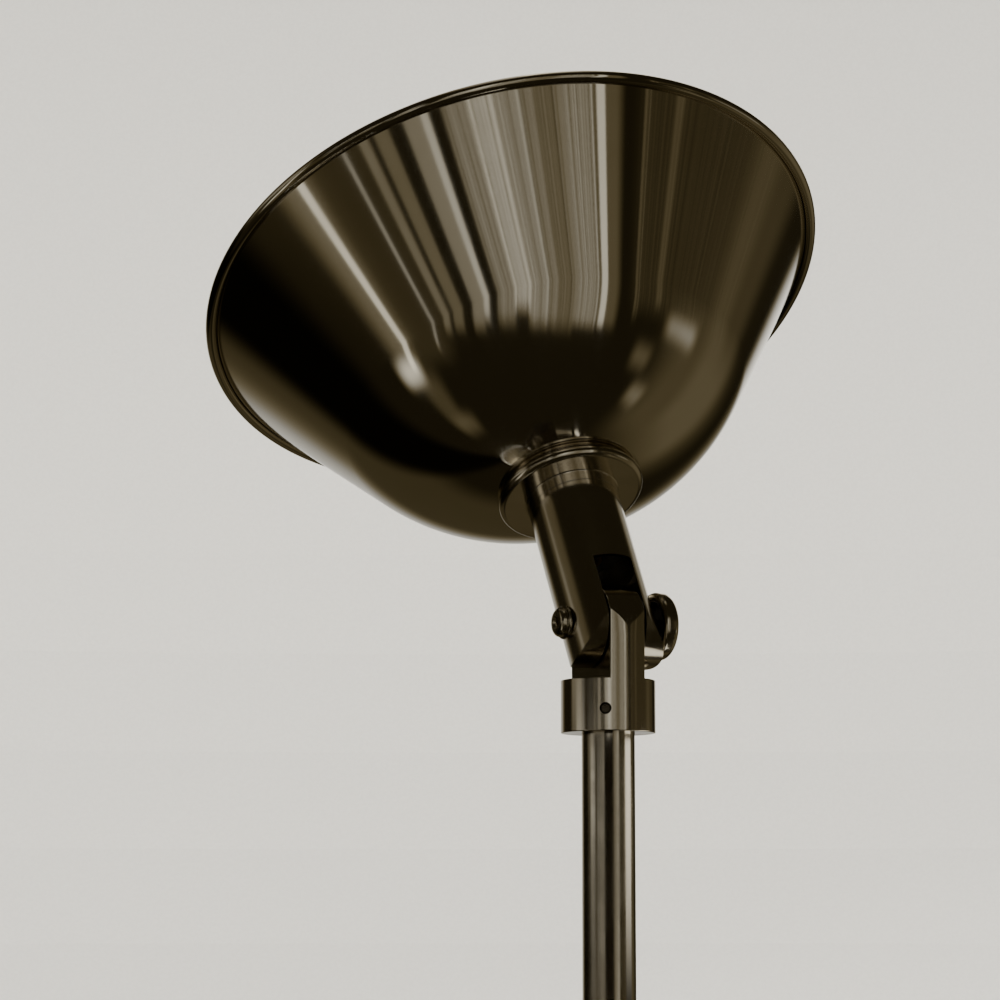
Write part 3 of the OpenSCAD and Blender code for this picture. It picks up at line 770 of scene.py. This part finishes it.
def make_knob(looks):
    """The cupped knob: soft edges all round, and a deep recess on the tube's side, whose inside is
    painted dark: painted shade.
    """
    near_face, knob_r, thick, recess = 20.2, 14.3, 7.0, 10.5
    outline = rounded([
        (3.0, 4.3), (recess - 0.6, 3.9, 1.6), (recess, 0.0, 1.0), (knob_r, 0.0, 2.0),
        (knob_r, thick, 2.9), (5.2, thick, 0.5), (5.2, thick - 0.5, 0.2), (3.9, thick - 0.5, 0.2),
        (3.9, thick, 0.3), (3.0, thick, 0.2)], steps=8)
    knob = lathe("tilt_knob_cupped", [(r, z + near_face) for r, z in outline], BOLT)
    knob.data.materials.append(looks["turned_nickel"])
    knob.data.materials.append(looks["knob_recess_painted_shade"])
    # Faces inside the recess get the near-black metal: painted shade where the recess lies in shadow
    for face in knob.data.polygons:
        middle = face.center / MM
        if math.hypot(middle.x, middle.y) < recess + 0.2 and 0.6 < middle.z - near_face < 5:
            face.material_index = 1
    finish(knob, "knob", ["tilt_knob"], "turned_nickel", looks)


# ---- Knuckle and pole ----

# Heights from the floor; PLAY is how much wider a hole is than what sits in it
PLAY = 0.05
COLLAR_LOW = 1354.5
COLLAR_TOP = 1376.5
TONGUE_HALF = 8.0
TONGUE_ROUND_Z = 1397.0
STEM_R = 11.1
LOWER_R = 14.3
SOCKET_TOP = 1374.5
GRUB_Z = 1363.7
GRUB_R = 2.4
GRUB_ANGLES = (0, 120, 240)
WIRE_WAY_R = 3.2
WIRE_WAY_Y = 8.0


def make_tongue():
    """The milled tongue: the bar's round front and back, a round top and small edge radii."""
    edge, flat_steps, side_steps = 0.35, 20, 6
    # Across the tongue: how far from its middle, and how far in from the bar's round side
    columns = []
    for a in (0, 22, 45, 68):
        a = math.radians(a)
        columns.append((-TONGUE_HALF + edge - edge * math.cos(a), edge * (1 - math.sin(a))))
    other_edge = [(-x, inset) for x, inset in columns[::-1]]
    flat = 2 * TONGUE_HALF - 2 * edge
    columns += [(-TONGUE_HALF + edge + flat * k / flat_steps, 0.0) for k in range(flat_steps + 1)]
    columns += other_edge
    # The tongue's foot is sunk into the collar, so that the two join
    low = COLLAR_TOP - 1
    heights = [low + (TONGUE_ROUND_Z - low) * k / side_steps for k in range(side_steps)]
    bm = bmesh.new()
    rings = []
    for x, inset in columns:
        reach = TUBE_R - inset
        side = math.sqrt(TUBE_R ** 2 - x * x) - inset
        start = math.degrees(math.acos(min(1.0, side / reach)))
        outline = [(side, z) for z in heights]
        outline += arc((0, TONGUE_ROUND_Z), reach, start, 180 - start, 48)
        outline += [(-side, z) for z in heights[::-1]]
        rings.append([bm.verts.new((x, y, z)) for y, z in outline])
    for left, right in zip(rings, rings[1:]):
        for k in range(len(left) - 1):
            bm.faces.new([left[k], left[k + 1], right[k + 1], right[k]])
        bm.faces.new([left[-1], left[0], right[0], right[-1]])
    bm.faces.new(rings[0])
    bm.faces.new(rings[-1][::-1])
    return new_object("tongue", bm, POLE)


def side_way(angle, height):
    """A frame whose Z axis points out from the pole at this angle and height."""
    turn = Matrix.Rotation(math.radians(angle), 4, "Z") @ Matrix.Rotation(math.pi / 2, 4, "Y")
    return Matrix.Translation((0, 0, height * MM)) @ turn


def grub_way(angle, height, start):
    """The hole that a grub screw sits in, from this far out of the pole's axis."""
    return prism("grub_way", 32, GRUB_R + PLAY, start, 30, side_way(angle, height))


def make_knuckle(looks):
    """The turned collar that grips the pole, with the tongue milled from the same bar."""
    outline = rounded([(0, COLLAR_LOW), (TUBE_R, COLLAR_LOW, 0.4), (TUBE_R, COLLAR_TOP, 0.4),
                       (0, COLLAR_TOP)], closed=False)
    knuckle = lathe("knuckle_milled", outline, POLE, closed=False, segments=200)
    combine(knuckle, [make_tongue()], "UNION")
    wire_way = Matrix.Translation((0, WIRE_WAY_Y * MM, 0))
    cutters = [
        prism("socket", 128, STEM_R + PLAY, COLLAR_LOW - 5, SOCKET_TOP, POLE),
        prism("wire_way", 48, WIRE_WAY_R, COLLAR_LOW, 1420, wire_way),
        prism("bolt_way", 48, BOLT_HOLE_R, -20, 20, BOLT),
    ]
    cutters += [grub_way(a, GRUB_Z, 8) for a in GRUB_ANGLES]
    combine(knuckle, cutters)
    finish(knuckle, "stem", ["knuckle"], "turned_nickel", looks, sharp=30)


def make_grubs(name, node, body, height, angles, inner, outer, looks):
    """Grub screws with a hexagon socket and a chamfered top, as one piece."""
    foot, chamfer, key_r, key_deep = 0.4, 0.7, 1.5, 2
    outline = [(0, inner), (GRUB_R - foot, inner), (GRUB_R, inner + foot), (GRUB_R, outer - chamfer),
               (GRUB_R - chamfer, outer), (0, outer)]
    screws = []
    for a in angles:
        place = side_way(a, height)
        screw = lathe(name, outline, place, closed=False, segments=48)
        combine(screw, [prism("key", 6, key_r, outer - key_deep, outer + 1, place)])
        screws.append(screw)
    finish(join(screws), body, [node], "screw_steel", looks, sharp=30)


def join(objects):
    """One piece of several: their meshes in the first one's frame."""
    first = objects[0]
    bm = bmesh.new()
    for obj in objects:
        part = obj.data.copy()
        part.transform(first.matrix_world.inverted() @ obj.matrix_world)
        bm.from_mesh(part)
        bpy.data.meshes.remove(part)
    bm.to_mesh(first.data)
    bm.free()
    for obj in objects[1:]:
        bpy.data.objects.remove(obj)
    return first


def upright(name, node, body, slot, looks, outline):
    """A piece turned round the pole's axis, from a rounded outline."""
    finish(lathe(name, rounded(outline), POLE), body, [node], slot, looks)


def span(node):
    """A node's lowest and highest point, in millimetres."""
    return [corner.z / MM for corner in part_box(node)]


def make_poles(looks):
    """The two drawn tubes: the upper one slides in the lower one."""
    bore_r = 9.6
    low, high = span("upper_stem")
    upright("upper_stem_drawn", "upper_stem", "stem", "pole_nickel", looks,
            [(bore_r, low), (STEM_R, low, 0.3), (STEM_R, (low + high) / 2), (STEM_R, high, 0.3),
             (bore_r, high)])
    bore_r = 12.3
    low, high = span("lower_tube")
    upright("lower_tube_drawn", "lower_tube", "base", "pole_nickel", looks,
            [(bore_r, low), (LOWER_R, low), (LOWER_R, (low + high) / 2), (LOWER_R, high, 0.4),
             (bore_r, high, 0.3)])


CLAMP_R = 18.5
CLAMP_SCREW_Z = JOINTS["clamp_screw_turn"]["pos_m"][2] / MM
CLAMP_THREAD_R = 3.0
CLAMP_GRUB_ANGLES = (60, 240)
CLAMP_GRUB_UP = 9.2


def make_clamp(looks):
    """The clamp collar on the lower tube, and its fluted thumb screw."""
    low, high = span("clamp_collar")
    stem_way_r, tube_way_r = STEM_R + PLAY, LOWER_R + PLAY
    stop_z, grub_z = low + 22, low + CLAMP_GRUB_UP
    outline = rounded([(stem_way_r, stop_z), (tube_way_r, stop_z), (tube_way_r, low, 0.3),
                       (CLAMP_R, low, 1.0), (CLAMP_R, high, 3.0), (stem_way_r, high, 0.4)], steps=8)
    collar = lathe("clamp_collar_turned", outline, POLE, segments=200)
    screw_place = side_way(0, CLAMP_SCREW_Z)
    ways = [prism("screw_way", 48, CLAMP_THREAD_R + PLAY, 8, 30, screw_place)]
    ways += [grub_way(a, grub_z, 12) for a in CLAMP_GRUB_ANGLES]
    combine(collar, ways)
    finish(collar, "base", ["clamp_collar"], "turned_nickel", looks, sharp=30)
    make_grubs("collar_screws_socket", "collar_screws", "base", grub_z, CLAMP_GRUB_ANGLES, 14.4, 18.0,
               looks)

    # The screw's outline starts at its point, and its grip is fluted
    count, depth = 16, 0.85

    def flutes(r, z, a):
        return r - depth * max(0.0, math.cos(count * a)) ** 0.7 if r > 8.2 and z > 24.6 else r

    thread_r, point = CLAMP_THREAD_R, 12.9
    outline = [(0, point), (thread_r - 0.3, point), (thread_r, point + 0.3), (thread_r, 22.5),
               (5.0, 22.5), (5.5, 24.0)]
    outline += rounded([(5.5, 24.0), (8.2, 25.5, 0.3), (9.0, 26.3, 0.3), (9.0, 33.5, 1.1),
                        (3.4, 33.5, 0.4), (2.9, 33.1, 0.3), (0, 33.1)], closed=False)[1:]
    screw = lathe("clamp_screw_fluted", outline, screw_place, closed=False, segments=320, shape=flutes)
    finish(screw, "clamp", ["clamp_screw"], "turned_nickel", looks)


# ---- Base ----

BASE_R = 145.0
# The cover's rounded edge, and the dome that rises from it to the middle
EDGE_R = 6.0
EDGE_CENTRE = (BASE_R - EDGE_R, 12.0)
DOME_LOW = 18.0
DOME_RISE = 10.0
COVER_SHEET = 1.2
COVER_LOW = 1.5
COVER_FLAT_Z = 28.0
COVER_FLAT_R = 22.5
COVER_HOLE_R = 6.3
DOME_STEPS = 44
DOME_RADII = [24 + 110 * k / DOME_STEPS for k in range(DOME_STEPS + 1)]
GLAND = (0, 0.140, 9.3 * MM)
GLAND_WAY_R = 5.05


def dome(r):
    """Height of the cover's outside at this radius."""
    return DOME_LOW + DOME_RISE * (1 - (r / EDGE_CENTRE[0]) ** 2)


def make_base(looks):
    """The spun cover over the base's weight, with the gland's hole, and the pole's trumpet foot."""
    outer = [(BASE_R, COVER_LOW)] + arc(EDGE_CENTRE, EDGE_R, 0, 84, 16)
    outer += [(r, dome(r)) for r in DOME_RADII[::-1]]
    outer += [(COVER_FLAT_R, COVER_FLAT_Z), (COVER_HOLE_R, COVER_FLAT_Z)]
    under = COVER_FLAT_Z - COVER_SHEET
    inner = [(COVER_HOLE_R, under), (COVER_FLAT_R, under)]
    inner += [(r, dome(r) - COVER_SHEET) for r in DOME_RADII]
    inner += arc(EDGE_CENTRE, EDGE_R - COVER_SHEET, 84, 0, 16) + [(BASE_R - COVER_SHEET, COVER_LOW)]
    cover = lathe("base_cover_spun", outer + inner, POLE, segments=256)
    gland = Matrix.Translation(GLAND) @ Matrix.Rotation(-math.pi / 2, 4, "X")
    combine(cover, [prism("gland_way", 64, GLAND_WAY_R, -6, 20, gland)])
    finish(cover, "base", ["base_cover"], "base_nickel", looks, sharp=40)

    z0, bore_r, foot_r, steps = 28.1, 14.5, 27, 24
    flange = [(bore_r, z0), (foot_r, z0), (foot_r, z0 + 1.4)]
    flange += arc((foot_r - 0.6, z0 + 1.4), 0.6, 0, 90, 4)
    for k in range(steps + 1):
        a = math.radians(90 * k / steps)
        flange.append((18 + 7 * (1 - math.sin(a)), z0 + 3 + 12 * (1 - math.cos(a))))
    flange += arc((16.7, z0 + 17), 1.3, -30, 100, 14) + [(bore_r, z0 + 18.3)]
    piece = lathe("base_flange_turned", flange, POLE, segments=200)
    finish(piece, "base", ["base_flange"], "turned_nickel", looks)


def dress_frame(looks):
    """Gives every carried-over node its own finish."""
    for node in frame["nodes"].values():
        for place in node.material_slots:
            place.material = looks[place.material.name.split(".")[0]]


# ---- Everything in its order ----

add_camera()
add_world()
add_stage()
add_cards()
add_lights()
LOOKS = make_looks()
make_shade(LOOKS)
make_flange(LOOKS)
make_head_tube(LOOKS)
make_shade_ring(LOOKS)
make_bulb(LOOKS)
make_bolt(LOOKS)
make_washer(LOOKS)
make_knob(LOOKS)
make_knuckle(LOOKS)
make_grubs("set_screws_socket", "set_screws", "stem", GRUB_Z, GRUB_ANGLES, 11.2, 18.8, LOOKS)
make_poles(LOOKS)
make_clamp(LOOKS)
make_base(LOOKS)
dress_frame(LOOKS)
